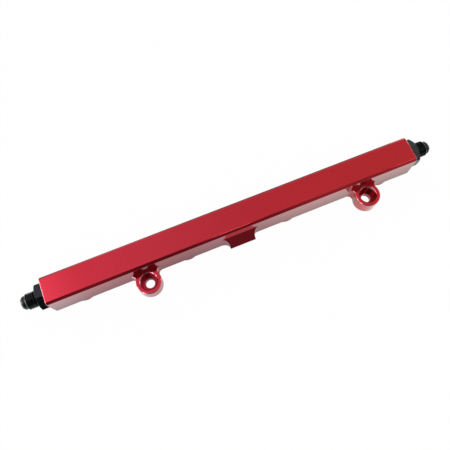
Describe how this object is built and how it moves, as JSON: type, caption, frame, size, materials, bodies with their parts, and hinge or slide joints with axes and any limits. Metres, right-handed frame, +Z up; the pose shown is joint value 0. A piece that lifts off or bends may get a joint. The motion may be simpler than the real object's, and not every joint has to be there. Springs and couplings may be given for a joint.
{
  "type": "fuel rail",
  "caption": "Straight anodised aluminium fuel rail with round injector bosses below, counterbored screw ears on one side and a threaded flare fitting at each end.",
  "frame": {"origin": "centre of the rail body's flat underside, the plane the ears' lower faces are in", "axes": "+X along the rail, -Y towards the ears, +Z up through the flat top, away from the injectors"},
  "size_m": [0.3882, 0.0454, 0.033],
  "materials": {
    "red_anodised_aluminium": "red anodised, bright satin",
    "black_anodised_aluminium": "black anodised, satin",
    "seal_rubber": "smooth nitrile rubber"
  },
  "bodies": {
    "root": {"rail_body": "red_anodised_aluminium", "end_fitting_left": "black_anodised_aluminium", "end_fitting_right": "black_anodised_aluminium", "fitting_seal_left": "seal_rubber", "fitting_seal_right": "seal_rubber"}
  },
  "joints": []
}
